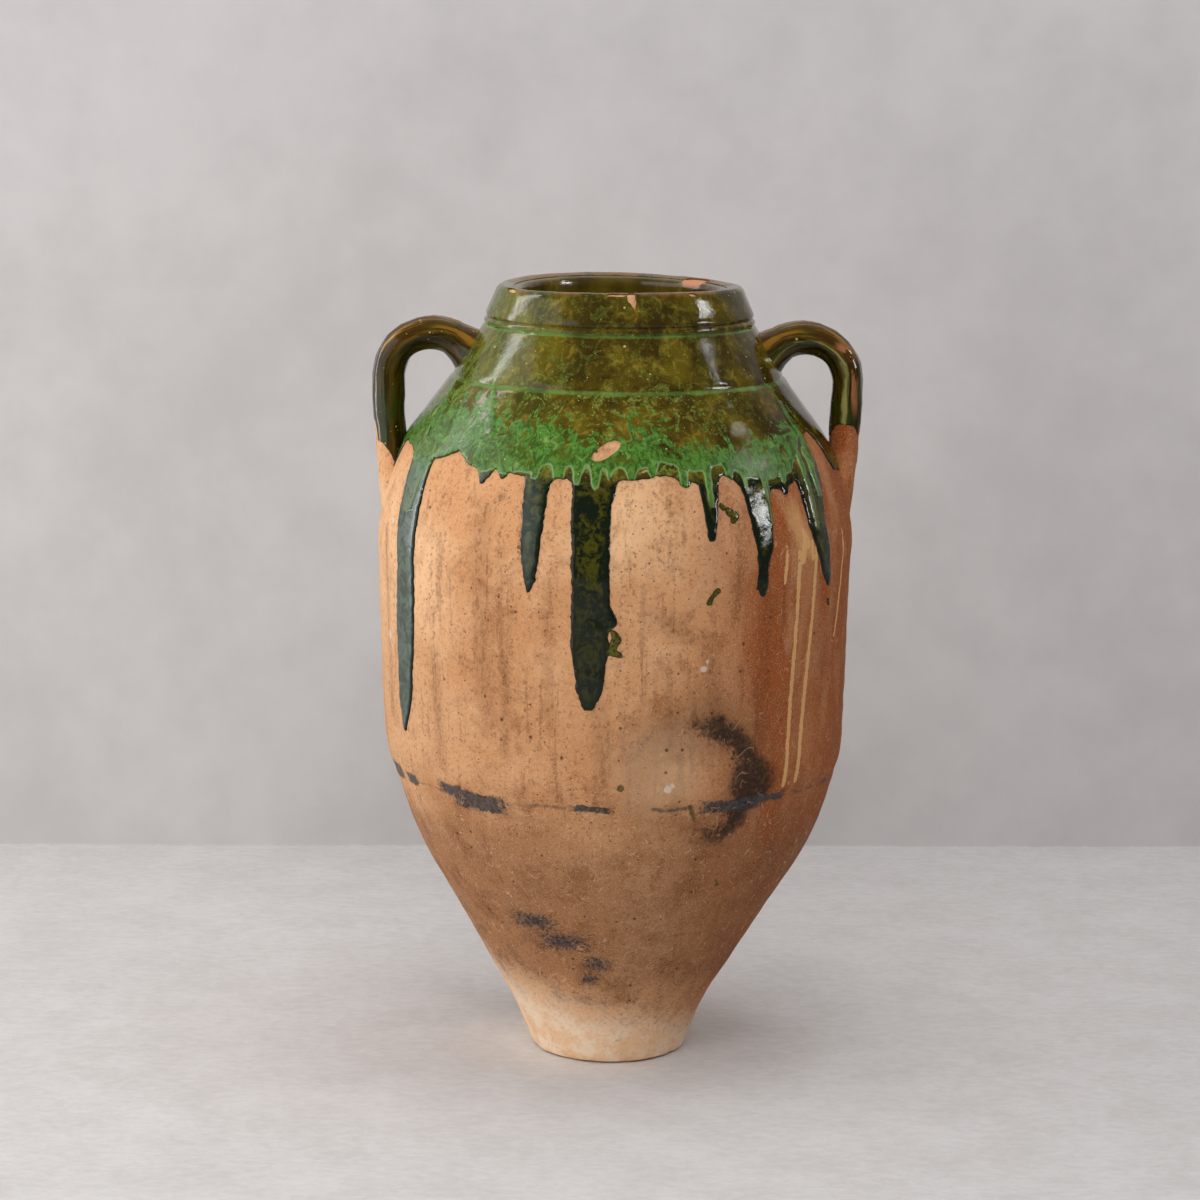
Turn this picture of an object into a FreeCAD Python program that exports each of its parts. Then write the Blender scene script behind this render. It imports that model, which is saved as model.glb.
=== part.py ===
import FreeCAD, Part
import Sketcher
import math
import os
import re

# An earthenware olive jar, in millimetres, +Z up, with its origin at the middle of its base.
# Four thrown sections are stacked and luted at bevelled edges, two pulled handles join neck and
# belly, a green glaze coat covers the top and runs down the sides, and a lining covers the inside.

Vector = FreeCAD.Vector
UP = Vector(0, 0, 1)
QUARTER_TURN = 90
HALF_TURN = 180

SIZES = {
    # Foot and cone: the lower section narrows to a small flared foot with a thick floor.
    "foot_radius": 67.0,
    "foot_edge": 3.0,
    "foot_rise": 44.0,
    "foot_top_radius": 82.0,
    "foot_flare_round": 160.0,
    "foot_wall": 17.0,
    "floor_thickness": 18.0,
    "floor_edge": 9.0,
    "cone_rise": 142.0,
    "cone_taper": 26.0,
    "cone_round": 250.0,
    "cone_wall": 14.0,
    # Belly: a drum that widens a little upwards above a rounded knee.
    "knee_rise": 76.0,
    "belly_taper": 6.8,
    "knee_round": 70.0,
    "belly_rise": 225.0,
    "belly_wall": 12.0,
    # Shoulder: a dome up to an incised line, then a steeper neck cone.
    "shoulder_radius": 199.8,
    "shoulder_round": 160.0,
    "shoulder_rise": 87.0,
    "shoulder_wall": 15.0,
    "line_radius": 137.5,
    "line_width": 5.0,
    "line_depth": 1.6,
    "neck_rise": 40.5,
    "neck_radius": 113.0,
    # Collar: a second line, a small ridge and an undercut carry the thick tapered collar.
    "neck_line_rise": 2.5,
    "neck_line_radius": 110.8,
    "ridge_rise": 3.0,
    "ridge_radius": 112.3,
    "undercut_rise": 2.8,
    "undercut_depth": 2.0,
    "collar_edge_rise": 2.4,
    "collar_taper": 10.6,
    "collar_rise": 24.1,
    "lip_width": 17.0,
    "lip_drop": 4.6,
    "throat_radius": 83.0,
    "throat_length": 32.0,
    "throat_edge": 3.0,
    "bevel_rise": 6.0,
    # Handles: an oval bar rises from the neck, loops over and runs down into the belly.
    "handle_thickness": 25.0,
    "handle_width": 35.0,
    "handle_loop_stand": 16.5,
    "handle_loop_radius": 37.0,
    "handle_loop_drop": 4.0,
    "handle_root_length": 45.0,
    "handle_end_inset": 14.5,
    "handle_end_drop": 36.0,
    # Glaze: the coat ends at an uneven line with runs, each a share of the widest and longest.
    "glaze_coat": 1.4,
    "glaze_lining": 1.2,
    "glaze_line_rise": 21.0,
    "glaze_run_width": 32.0,
    "glaze_run_length": 215.0,
    "glaze_run_flare": 7.0,
    "handle_glaze_rise": 33.0,
    # Every cutting form passes the solid that it cuts by this much.
    "overrun": 20.0,
}

# Places worked out from the sizes above.
PLACES = {
    "knee_radius": "shoulder_radius - belly_taper",
    "cone_radius": "knee_radius - cone_taper",
    "foot_level": "foot_rise",
    "cone_level": "foot_level + cone_rise",
    "knee_level": "cone_level + knee_rise",
    "shoulder_level": "knee_level + belly_rise",
    "line_level": "shoulder_level + shoulder_rise",
    "neck_level": "line_level + neck_rise",
    "neck_line_level": "neck_level + neck_line_rise",
    "ridge_level": "neck_line_level + ridge_rise",
    "lip_radius": "throat_radius + lip_width",
    "collar_radius": "lip_radius + collar_taper",
    "undercut_radius": "collar_radius - undercut_depth",
    "undercut_level": "ridge_level + undercut_rise",
    "collar_level": "undercut_level + collar_edge_rise",
    "lip_level": "collar_level + collar_rise",
    "throat_top_level": "lip_level - lip_drop",
    "throat_level": "throat_top_level - throat_length",
    "line_below": "line_radius + (shoulder_radius - line_radius) * line_width / 2 / shoulder_rise",
    "line_above": "line_radius - (line_radius - neck_radius) * line_width / 2 / neck_rise",
    "glaze_level": "shoulder_level + glaze_line_rise",
    "handle_glaze_level": "shoulder_level + handle_glaze_rise",
    "handle_loop_axis": "line_radius + handle_loop_stand",
    "handle_axis": "handle_loop_axis + handle_loop_radius",
    "handle_loop_level": "line_level - handle_loop_drop",
    "handle_end_axis": "shoulder_radius - handle_end_inset",
    "handle_end_level": "shoulder_level - handle_end_drop",
    "reach": "shoulder_radius + handle_thickness + overrun",
}

# Where a seam crosses a straight side of the wall, as a share of the way up that side.
SEAM_OUTER_SHARE = 0.79
SEAM_INNER_SHARE = 0.87
BELLY_OUTER_SHARE = 0.60
BELLY_INNER_SHARE = 0.63
LIP_SPLIT_SHARE = 0.60

# Where the edges of the lip are eased, as shares of the sides that meet there.
LIP_SIDE_SHARE = 0.88
LIP_TOP_SHARE = 0.16
THROAT_EDGE_SHARE = 0.80

# How much of a side one round may take, beside a sharp corner and beside another round.
ROUND_ALONE_SHARE = 0.95
ROUND_PAIR_SHARE = 0.49

# Handle sections. Each line gives its place, then its thickness and width as shares.
ROOT_SHARES = ((1.00, 1.80, 1.80), (0.45, 1.48, 1.48), (0.20, 1.25, 1.25))
LOOP_SHARES = ((115, 1.12, 1.12), (100, 1.03, 1.03), (80, 1.00, 1.00), (60, 1.00, 1.00),
               (40, 1.00, 1.00), (20, 1.00, 1.00), (4, 1.00, 1.00))
LEG_SHARES = ((0.30, 1.00, 1.02), (0.65, 1.00, 1.12), (1.00, 0.80, 1.40))

# Glaze runs: degrees round the jar from its front, width share, length share, flare share.
RUN_SHARES = (
    (-71, 0.40, 0.20, 1.0),
    (-61, 0.92, 1.00, 1.0),
    (-46, 0.36, 0.10, 1.0),
    (-34, 0.42, 0.13, 1.0),
    (-19.5, 0.60, 0.42, 1.0),
    (-6, 1.00, 0.85, 1.6),
    (23, 0.40, 0.25, 1.0),
    (37, 0.74, 0.45, 1.0),
    (47, 0.30, 0.14, 0.6),
    (58, 0.86, 0.46, 1.0),
    (74, 0.40, 0.16, 1.0),
    (104, 0.58, 0.38, 1.0),
    (122, 0.82, 0.66, 1.3),
    (139, 0.44, 0.16, 1.0),
    (157, 0.62, 0.48, 1.0),
    (181, 0.94, 0.74, 1.5),
    (199, 0.46, 0.22, 1.0),
    (214, 0.68, 0.54, 1.0),
    (235, 0.54, 0.30, 1.0),
    (246, 0.40, 0.14, 1.0),
    (257, 0.74, 0.60, 1.0),
)
RUN_TAPER_SHARE = 0.72
RUN_TIP_SHARE = 0.92

doc = FreeCAD.newDocument("olive_jar")
sheet = doc.addObject("Spreadsheet::Sheet", "sizes")
for row, (alias, size) in enumerate(SIZES.items(), start=1):
    sheet.set(f"A{row}", alias)
    sheet.set(f"B{row}", str(size))
    sheet.setAlias(f"B{row}", alias)
doc.recompute()


def bind(text):
    """The expression on sheet cells for a sum written in the plain names above."""

    def cell(match):
        word = match.group()
        if word in PLACES:
            return f"({bind(PLACES[word])})"
        return f"sizes.{word}" if word in SIZES else word

    return re.sub(r"[a-z_]+", cell, text)


def value(text):
    """The present value of such a sum."""
    return float(sheet.evalExpression(bind(text)))


def between(low, high, share):
    """The point at a share of the way from one corner to another, as a corner."""
    return tuple(f"({start}) + (({stop}) - ({start})) * {share}" for start, stop in zip(low[:2], high[:2]))


def pin(sketch, geometry, end, place):
    """Holds one point of a sketch at a place given by two sums."""
    for kind, axis, text in zip(("DistanceX", "DistanceY"), (-2, -1), place):
        if text == "0":
            sketch.addConstraint(Sketcher.Constraint("PointOnObject", geometry, end, axis))
            continue
        held = Sketcher.Constraint(kind, -1, 1, geometry, end, value(text))
        sketch.setExpression(f"Constraints[{sketch.addConstraint(held)}]", bind(text))


def side_share(corner):
    """The share of a side that a round may take when the side ends at this corner."""
    return ROUND_ALONE_SHARE if len(corner) < 3 else ROUND_PAIR_SHARE


def outline(sketch, corners):
    """Draws a closed outline of straight sides. A corner's third entry, if any, rounds it."""
    count = len(corners)
    points = [Vector(value(corner[0]), value(corner[1]), 0) for corner in corners]
    arrive, leave, arcs, rounds = list(points), list(points), {}, {}
    for index, corner in enumerate(corners):
        if len(corner) < 3:
            continue
        here = points[index]
        following = (index + 1) % count
        back = points[index - 1] - here
        ahead = points[following] - here
        half = back.getAngle(ahead) / 2
        room = min(back.Length * side_share(corners[index - 1]),
                   ahead.Length * side_share(corners[following]))
        rounds[index] = f"min({bind(corner[2])}; {room * math.tan(half)})"
        radius = min(value(corner[2]), room * math.tan(half))
        back.normalize()
        ahead.normalize()
        arrive[index] = here + back * (radius / math.tan(half))
        leave[index] = here + ahead * (radius / math.tan(half))
        centre = here + (back + ahead).normalize() * (radius / math.sin(half))
        turns_left = back.cross(ahead).z < 0
        first, last = (arrive, leave) if turns_left else (leave, arrive)
        spokes = [point[index] - centre for point in (first, last)]
        angles = [math.atan2(spoke.y, spoke.x) for spoke in spokes]
        if angles[1] < angles[0]:
            angles[1] += 2 * math.pi
        arcs[index] = (Part.ArcOfCircle(Part.Circle(centre, UP, radius), *angles), turns_left)
    sides = []
    for index in range(count):
        sides.append(sketch.addGeometry(Part.LineSegment(leave[index], arrive[(index + 1) % count])))
    for index, corner in enumerate(corners):
        before, after = sides[index - 1], sides[index]
        if index not in arcs:
            sketch.addConstraint(Sketcher.Constraint("Coincident", before, 2, after, 1))
            pin(sketch, after, 1, corner)
            continue
        arc, turns_left = arcs[index]
        bend = sketch.addGeometry(arc)
        begin, end = (1, 2) if turns_left else (2, 1)
        sketch.addConstraint(Sketcher.Constraint("Tangent", before, 2, bend, begin))
        sketch.addConstraint(Sketcher.Constraint("Tangent", bend, end, after, 1))
        knot = sketch.addGeometry(Part.Point(points[index]), True)
        sketch.addConstraint(Sketcher.Constraint("PointOnObject", knot, 1, before))
        sketch.addConstraint(Sketcher.Constraint("PointOnObject", knot, 1, after))
        pin(sketch, knot, 1, corner)
        rounded = sketch.addConstraint(Sketcher.Constraint("Radius", bend, arc.Radius))
        sketch.setExpression(f"Constraints[{rounded}]", rounds[index])


def turned(name, corners):
    """A body turned about the jar's axis from an outline of radius and height."""
    body = doc.addObject("PartDesign::Body", name)
    sketch = body.newObject("Sketcher::SketchObject", f"{name}_profile")
    plane = next(item for item in body.Origin.OriginFeatures if item.Role == "XZ_Plane")
    sketch.AttachmentSupport = [(plane, "")]
    sketch.MapMode = "FlatFace"
    outline(sketch, corners)
    turn = body.newObject("PartDesign::Revolution", f"{name}_turn")
    turn.Profile = sketch
    turn.ReferenceAxis = (sketch, ["V_Axis"])
    return body


def boolean(kind, name, base, tool):
    """A Part boolean of two objects."""
    result = doc.addObject(f"Part::{kind}", name)
    result.Base = base
    result.Tool = tool
    return result


# Corners of the outer wall, from the base up, and of the inner wall.
FOOT = (("foot_radius - foot_edge", "0"), ("foot_radius", "foot_edge"))
FOOT_TOP = ("foot_top_radius", "foot_level", "foot_flare_round")
CONE = ("cone_radius", "cone_level", "cone_round")
KNEE = ("knee_radius", "knee_level", "knee_round")
SHOULDER = ("shoulder_radius", "shoulder_level", "shoulder_round")
LINE = (
    ("line_below", "line_level - line_width / 2"),
    ("line_radius - line_depth", "line_level"),
    ("line_above", "line_level + line_width / 2"),
)
NECK = (
    ("neck_radius", "neck_level"),
    ("neck_line_radius", "neck_line_level"),
    ("ridge_radius", "ridge_level"),
)
UNDERCUT = ("undercut_radius", "undercut_level")
COLLAR = ("collar_radius", "collar_level")
LIP = ("lip_radius", "lip_level")
LIP_END = ("throat_radius", "throat_top_level")
LIP_SIDE = between(COLLAR, LIP, LIP_SIDE_SHARE)
LIP_TOP = between(LIP, LIP_END, LIP_TOP_SHARE)
THROAT_EDGE = between(LIP, LIP_END, THROAT_EDGE_SHARE)
THROAT_TOP = ("throat_radius", "throat_top_level - throat_edge")
THROAT = ("throat_radius", "throat_level")
INNER_LINE = ("line_radius - shoulder_wall", "line_level")
INNER_SHOULDER = ("shoulder_radius - belly_wall", "shoulder_level", "shoulder_round - belly_wall")
INNER_KNEE = ("knee_radius - belly_wall", "knee_level")
INNER_CONE = ("cone_radius - cone_wall", "cone_level")
INNER_FOOT = ("foot_radius - foot_wall", "floor_thickness + floor_edge")
INNER_FLOOR = ("foot_radius - foot_wall - floor_edge", "floor_thickness")

# Seams: each is a bevel that rises inwards, so that the upper section cannot slip.
SEAM_OUTER = between(CONE, KNEE, SEAM_OUTER_SHARE)
SEAM_INNER = between(INNER_CONE, INNER_KNEE, SEAM_INNER_SHARE)
BELLY_OUTER = between(KNEE, SHOULDER, BELLY_OUTER_SHARE)
BELLY_INNER = between(INNER_KNEE, INNER_SHOULDER, BELLY_INNER_SHARE)
COLLAR_INNER = ("throat_radius", "undercut_level + bevel_rise")
LIP_SPLIT = between(LIP, LIP_END, LIP_SPLIT_SHARE)


def thrown_sections():
    """The four clay sections, from the foot up."""
    foot_cone = turned("foot_cone", (
        ("0", "0"), *FOOT, FOOT_TOP, CONE, SEAM_OUTER,
        SEAM_INNER, INNER_CONE, INNER_FOOT, INNER_FLOOR, ("0", "floor_thickness")))
    belly_drum = turned("belly_drum", (
        SEAM_OUTER, KNEE, BELLY_OUTER, BELLY_INNER, INNER_KNEE, SEAM_INNER))
    shoulder_dome = turned("shoulder_dome", (
        BELLY_OUTER, SHOULDER, *LINE, *NECK, UNDERCUT,
        COLLAR_INNER, THROAT, INNER_LINE, INNER_SHOULDER, BELLY_INNER))
    neck_collar = turned("neck_collar", (
        UNDERCUT, COLLAR, LIP_SIDE, LIP_TOP, THROAT_EDGE, THROAT_TOP, COLLAR_INNER))
    return [foot_cone, belly_drum, shoulder_dome, neck_collar]


def outward(corner):
    """A corner of the outer wall, moved out by the coat."""
    return (f"{corner[0]} + glaze_coat", *corner[1:])


def inward(corner):
    """A corner of the inner wall, moved in by the lining."""
    return (f"{corner[0]} - glaze_lining", *corner[1:])


def raised(corner):
    """A corner of the lip, moved up by the coat."""
    return (corner[0], f"{corner[1]} + glaze_coat", *corner[2:])


WALL_UPWARDS = (KNEE, BELLY_OUTER, SHOULDER, *LINE, *NECK, UNDERCUT, COLLAR)


def lining():
    """The glaze swilled round the inside, from the floor to the inner edge of the lip."""
    wall = (INNER_FOOT, INNER_CONE, INNER_KNEE, BELLY_INNER, INNER_SHOULDER, INNER_LINE, THROAT)
    edge = (THROAT_TOP, THROAT_EDGE)
    return turned("inner_glaze", (
        ("0", "floor_thickness"), INNER_FLOOR, *wall, *edge, LIP_SPLIT,
        raised(LIP_SPLIT), *(raised(inward(corner)) for corner in reversed(edge)),
        *(inward(corner) for corner in reversed(wall)),
        (inward(INNER_FLOOR)[0], "floor_thickness + glaze_lining"),
        ("0", "floor_thickness + glaze_lining")))


def wall_form(name, move):
    """The jar's upper half as one solid, by which handles and glaze are cut to its wall."""
    return turned(name, (
        ("0", move(SEAM_OUTER)[1]), move(SEAM_OUTER),
        *(move(corner) for corner in WALL_UPWARDS), ("0", move(COLLAR)[1])))


def handle_blank(name, growth):
    """An oval bar lofted along the handle's path, on the +X side. growth is added all round."""
    start = LOOP_SHARES[0][0]
    lean = math.degrees(math.atan2(value("handle_axis - handle_end_axis"),
                                   value("handle_loop_level - handle_end_level")))
    stations = []
    for share, thick, wide in ROOT_SHARES:
        run_in = f"handle_root_length * {share}"
        across = f"handle_loop_axis + handle_loop_radius * cos({start}) - {run_in} * sin({start})"
        height = f"handle_loop_level + handle_loop_radius * sin({start}) + {run_in} * cos({start})"
        stations.append((across, height, HALF_TURN - start, thick, wide))
    for turn, thick, wide in LOOP_SHARES:
        across = f"handle_loop_axis + handle_loop_radius * cos({turn})"
        height = f"handle_loop_level + handle_loop_radius * sin({turn})"
        stations.append((across, height, HALF_TURN - turn, thick, wide))
    for share, thick, wide in LEG_SHARES:
        across = f"handle_axis + (handle_end_axis - handle_axis) * {share}"
        height = f"handle_loop_level + (handle_end_level - handle_loop_level) * {share}"
        stations.append((across, height, HALF_TURN + lean, thick, wide))
    ovals = []
    for number, (across, height, tilt, thick, wide) in enumerate(stations, start=1):
        oval = doc.addObject("Part::Ellipse", f"{name}_section_{number}")
        lie = FreeCAD.Rotation(Vector(0, 1, 0), tilt).multiply(FreeCAD.Rotation(UP, QUARTER_TURN))
        oval.Placement = FreeCAD.Placement(Vector(value(across), 0, value(height)), lie)
        oval.setExpression("Placement.Base.x", bind(across))
        oval.setExpression("Placement.Base.z", bind(height))
        oval.setExpression("MajorRadius", bind(f"handle_width * {wide} / 2 + {growth}"))
        oval.setExpression("MinorRadius", bind(f"handle_thickness * {thick} / 2 + {growth}"))
        ovals.append(oval)
    blank = doc.addObject("Part::Loft", name)
    blank.Sections = ovals
    blank.Solid = True
    blank.Ruled = True
    return blank


def zone_above(name, level):
    """A wide cylinder that starts at a level and passes the top of the jar."""
    zone = doc.addObject("Part::Cylinder", name)
    zone.setExpression("Radius", bind("reach"))
    zone.setExpression("Height", bind(f"lip_level + glaze_coat + overrun - ({level})"))
    zone.setExpression("Placement.Base.z", bind(level))
    return zone


def mirrored(name, source):
    """The same piece on the other side of the jar."""
    twin = doc.addObject("Part::Mirroring", name)
    twin.Source = source
    twin.Normal = Vector(1, 0, 0)
    return twin


def run_prism(number, turn, width_share, length_share, flare_share):
    """One glaze run, seen from outside: it flares into the glaze line, tapers and ends in a round tip."""
    half = f"glaze_run_width * {width_share} / 2"
    flare = f"glaze_run_flare * {flare_share}"
    tip = f"glaze_run_length * {length_share}"
    tip_half = f"{half} * {RUN_TAPER_SHARE}"
    tip_round = f"{tip_half} * {RUN_TIP_SHARE}"
    right = (
        (tip_half, f"0 - {tip}", tip_round),
        (half, "0", flare),
        (f"{half} + {flare} * 2", "0"),
        (f"{half} + {flare} * 2", "overrun"),
    )
    left = tuple((f"0 - ({corner[0]})", *corner[1:]) for corner in reversed(right))
    sketch = doc.addObject("Sketcher::SketchObject", f"run_{number}_outline")
    sketch.Placement = FreeCAD.Placement(Vector(), FreeCAD.Rotation(turn, 0, QUARTER_TURN))
    sketch.setExpression("Placement.Base.z", bind("glaze_level"))
    outline(sketch, right + left)
    prism = doc.addObject("Part::Extrusion", f"run_{number}")
    prism.Base = sketch
    prism.DirMode = "Normal"
    prism.Solid = True
    prism.setExpression("LengthFwd", bind("reach"))
    prism.setExpression("LengthRev", bind("0 - neck_radius"))
    return prism


def glaze_coat(blanks):
    """The coat over lip, collar, shoulder and runs, open where the handles stand on the wall."""
    wall = (SEAM_OUTER, *WALL_UPWARDS)
    skin = turned("coat_skin", (
        *wall, LIP_SIDE, LIP_TOP, LIP_SPLIT,
        raised(LIP_SPLIT), raised(LIP_TOP), outward(LIP_SIDE),
        *(outward(corner) for corner in reversed(wall))))
    zone = zone_above("coat_zone", "glaze_level")
    runs = [run_prism(number, *shares) for number, shares in enumerate(RUN_SHARES, start=1)]
    curtain = doc.addObject("Part::MultiFuse", "coat_curtain")
    curtain.Shapes = [zone, *runs]
    coat = boolean("Common", "coat_with_runs", skin, curtain)
    for number, blank in enumerate(blanks, start=1):
        coat = boolean("Cut", f"coat_cut_{number}", coat, blank)
    coat.Label = "shoulder_glaze"
    return coat


def handles_and_sleeves():
    """Both handles, their glaze sleeves and the uncut bars."""
    bar = handle_blank("handle_bar", "0")
    clay = boolean("Cut", "handle_right", bar, wall_form("wall_clay", lambda corner: corner))
    grown = handle_blank("handle_bar_glazed", "glaze_coat")
    zone = zone_above("handle_glaze_zone", "handle_glaze_level")
    upper = boolean("Common", "handle_glaze_upper", grown, zone)
    hollow = boolean("Cut", "handle_glaze_hollow", upper, bar)
    sleeve = boolean("Cut", "handle_right_glaze", hollow, wall_form("wall_glazed", outward))
    bars = [bar, mirrored("handle_bar_left", bar)]
    pieces = [clay, mirrored("handle_left", clay), sleeve, mirrored("handle_left_glaze", sleeve)]
    return pieces, bars


pieces = thrown_sections()
pieces.append(lining())
handle_pieces, handle_bars = handles_and_sleeves()
pieces.extend(handle_pieces)
pieces.append(glaze_coat(handle_bars))
doc.recompute()

for item in doc.Objects:
    if {"Invalid", "Error"} & set(item.State):
        raise RuntimeError(f"{item.Label} did not build: {item.State}")
for piece in pieces:
    if piece.Shape.isNull() or not piece.Shape.isValid():
        raise RuntimeError(f"{piece.Label} is not a valid solid")

os.makedirs("parts", exist_ok=True)
for piece in pieces:
    print(f"{piece.Label}: {len(piece.Shape.Solids)} solid, {piece.Shape.Volume / 1000:.1f} cm3")
    piece.Shape.exportStep(f"parts/{piece.Label}.step")
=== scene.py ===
# %% [markdown]
# This lesson dresses the CAD model of an old olive jar. The jar was thrown from earthenware in four
# sections, coated with green glaze on its upper part, and fired, and the glaze ran down its sides
# in the kiln. The CAD model gives sizes and places, and Blender adds the uneven hand-made walls,
# the thick glossy glaze with its runs, and the stained clay. The frame is loaded first, because
# every later step takes its place from it.

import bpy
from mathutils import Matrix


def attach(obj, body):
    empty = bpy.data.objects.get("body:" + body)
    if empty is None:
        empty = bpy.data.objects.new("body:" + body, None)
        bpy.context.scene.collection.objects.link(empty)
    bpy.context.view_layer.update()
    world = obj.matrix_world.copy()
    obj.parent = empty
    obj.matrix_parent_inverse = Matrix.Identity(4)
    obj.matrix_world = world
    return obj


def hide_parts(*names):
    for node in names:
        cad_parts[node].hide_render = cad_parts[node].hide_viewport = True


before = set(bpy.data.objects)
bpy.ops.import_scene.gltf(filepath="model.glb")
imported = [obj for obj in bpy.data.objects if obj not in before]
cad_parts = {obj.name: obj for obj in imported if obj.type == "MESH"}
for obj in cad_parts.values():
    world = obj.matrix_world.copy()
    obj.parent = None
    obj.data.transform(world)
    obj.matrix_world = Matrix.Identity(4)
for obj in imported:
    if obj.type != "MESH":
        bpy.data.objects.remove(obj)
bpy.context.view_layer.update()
print("CAD nodes:", sorted(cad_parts))

# %% Tools
import math
from functools import partialmethod, reduce
from operator import or_

import bmesh
import bpy
import numpy as np
from mathutils import Quaternion, Vector, noise

MM = 0.001
TURN = 2 * math.pi
MERGE = 0.02 * MM
FAR = 1e6
bpy.context.scene.view_settings.view_transform = "Standard"

# %% [markdown]
# A thrown wall is a turned shape, so a potter would think of it as a profile. Here a profile is a
# chain of edges between corners, and a corner may carry a radius that rounds it. The bevel operator
# on vertices makes the rounds, because it works on bare edges too, and the long edges are divided
# into rows, so that the wall has enough points to become uneven later.


# %% A profile of rounded corners
def profile(bm, corners, row):
    """Adds a chain of edges between (radius, height, round) corners, in mm, in rows of a length."""
    points = [Vector((corner[0], 0, corner[1])) * MM for corner in corners]
    chain = [bm.verts.new(point) for point in points]
    edges = [bm.edges.new(pair) for pair in zip(chain, chain[1:])]
    before = set(bm.edges) - set(edges)
    for index, corner in enumerate(corners):
        if len(corner) < 3:
            continue
        back, ahead = points[index - 1] - points[index], points[index + 1] - points[index]
        turn = math.pi - back.angle(ahead)
        bmesh.ops.bevel(
            bm, geom=[chain[index]], offset=corner[2] * MM * math.tan(turn / 2),
            offset_type="OFFSET", affect="VERTICES",
            segments=max(2, math.ceil(corner[2] * turn / row)), profile=0.5, material=-1,
            clamp_overlap=False)
    cuts = {}
    for edge in set(bm.edges) - before:
        count = math.ceil(edge.calc_length() / MM / row) - 1
        if count > 0:
            cuts.setdefault(count, []).append(edge)
    for count, group in cuts.items():
        bmesh.ops.subdivide_edges(bm, edges=group, cuts=count)


def turned(columns, *chains):
    """A bmesh spun about the jar's axis from chains of corners, each with its row length."""
    bm = bmesh.new()
    for corners, row in chains:
        profile(bm, corners, row)
    bmesh.ops.remove_doubles(bm, verts=bm.verts[:], dist=MERGE)
    bmesh.ops.spin(
        bm, geom=bm.verts[:] + bm.edges[:], cent=(0, 0, 0), axis=(0, 0, 1), angle=TURN,
        steps=columns, use_merge=True)
    bmesh.ops.remove_doubles(bm, verts=bm.verts[:], dist=MERGE)
    bmesh.ops.recalc_face_normals(bm, faces=bm.faces[:])
    return bm


# %% [markdown]
# No hand-thrown jar is quite round or straight. The axis of this one drifts a few millimetres, its
# mouth is a little oval and its wall keeps faint rings from the fingers. One function moves every
# point, and clay, glaze and lining all pass through it, so that they stay in touch everywhere.


# %% An uneven, hand-thrown wall
SEAM_HEIGHT = 246.0


def bump_at(height, middle, spread):
    """A smooth hill of height 1 round a middle height."""
    return math.exp(-((height - middle) / spread) ** 2)


def thrown(bm):
    """Moves the points of a turned mesh off true, as hands do."""
    for vert in bm.verts:
        x, y, z = vert.co / MM
        radius, turn = math.hypot(x, y), math.atan2(x, -y)
        if radius < 1:
            continue
        grip = min(1, radius / 60)
        here = Vector((x, y, z))
        oval = 1.1 * math.cos(2 * turn + 0.7) + 0.7 * math.cos(3 * turn - 0.4 + z / 240)
        rings = 0.14 * math.sin(z / 3.1 + 1.5 * noise.noise(here / 60)) * bump_at(z, 300, 190)
        lumps = 1.5 * noise.noise(here / 75) + 0.35 * noise.noise(here / 17)
        seam = (
            -0.6 * bump_at(z, SEAM_HEIGHT, 2.2) * (0.6 + 0.4 * noise.noise(here / 14))
            if radius > 184 else 0)
        worn = -3.5 * max(0, noise.noise(here / 9) - 0.12) * bump_at(z, 0, 6) if radius > 60 else 0
        grown = radius + grip * (oval + rings + lumps + seam + worn)
        lean = 2.4 * bump_at(z, 190, 80) - 1.0 * bump_at(z, 450, 110)
        tilt = 0.9 * math.sin(2 * turn + 1.0) * max(0, (z - 600) / 50)
        vert.co = (
            Vector((grown * math.sin(turn) + lean * grip, -grown * math.cos(turn), z + tilt)) * MM)
    bm.normal_update()


PIECES = {}


def finish_piece(bm, node, sharp_degrees=40):
    """Makes the bmesh an object that stands for a CAD node, smooth but for its sharp edges."""
    for face in bm.faces:
        face.smooth = True
    for edge in bm.edges:
        edge.smooth = edge.calc_face_angle(0) < math.radians(sharp_degrees)
    mesh = bpy.data.meshes.new(f"{node}_shown")
    bm.to_mesh(mesh)
    count, volume = sum(len(face.verts) - 2 for face in bm.faces), bm.calc_volume(signed=True)
    open_edges = sum(not edge.is_manifold for edge in bm.edges)
    bm.free()
    piece = bpy.data.objects.new(f"{node}_shown", mesh)
    bpy.context.scene.collection.objects.link(piece)
    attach(piece, "root")
    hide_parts(node)
    PIECES[node] = piece
    print(f"{piece.name}: {count} triangles, {volume * 1e6:.0f} cm3, {open_edges} open edges")


# %% [markdown]
# The clay is four thrown sections that were luted together while leather hard: the foot with its
# cone, the belly, the shoulder, and the collar. Each is one closed ring, spun from its outer and
# its inner profile, and neighbours share the bevelled line where they meet. The outside has fine
# rows, and the inside, which the lining hides, has few.

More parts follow.
